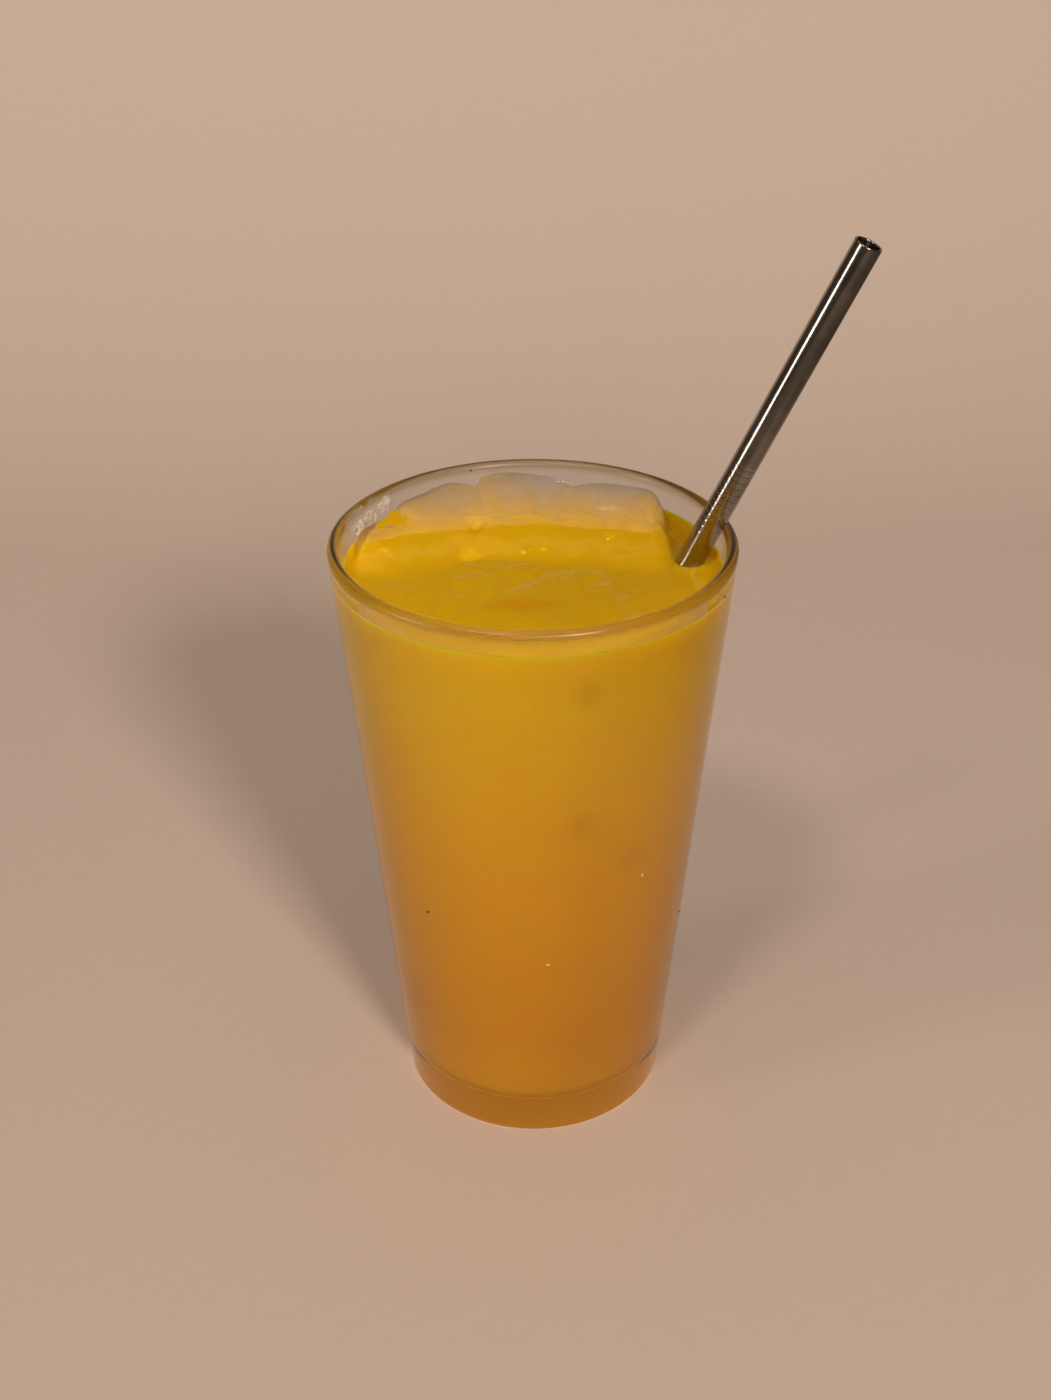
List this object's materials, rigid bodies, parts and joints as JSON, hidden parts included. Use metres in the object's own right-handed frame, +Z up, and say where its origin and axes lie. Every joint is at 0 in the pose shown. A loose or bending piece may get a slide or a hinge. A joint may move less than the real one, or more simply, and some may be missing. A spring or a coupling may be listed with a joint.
{
  "type": "glass of iced orange juice with a steel drinking straw",
  "caption": "Tapered pint glass filled with orange juice and ice cubes to just below its rim, with a straight steel straw leaning in it.",
  "frame": {"origin": "centre of the glass's flat underside, on the surface it stands on", "axes": "+Z up along the glass's axis, +X to the side the straw leans towards, +Y to the side where the ice stands highest"},
  "size_m": [0.1133, 0.0888, 0.2093],
  "materials": {
    "glass": "clear pressed soda-lime glass, polished",
    "juice": "wet cloudy golden orange liquid",
    "straw": "fine drawn stainless steel, satin to bright",
    "ice": "wet melting clear ice, stained by the juice"
  },
  "bodies": {
    "root": {"glass": "glass", "juice": "juice", "straw": "straw", "ice_back": "ice", "ice_back_left": "ice", "ice_back_right": "ice", "ice_left": "ice", "ice_front_left": "ice", "ice_front": "ice", "ice_middle": "ice"}
  },
  "joints": []
}
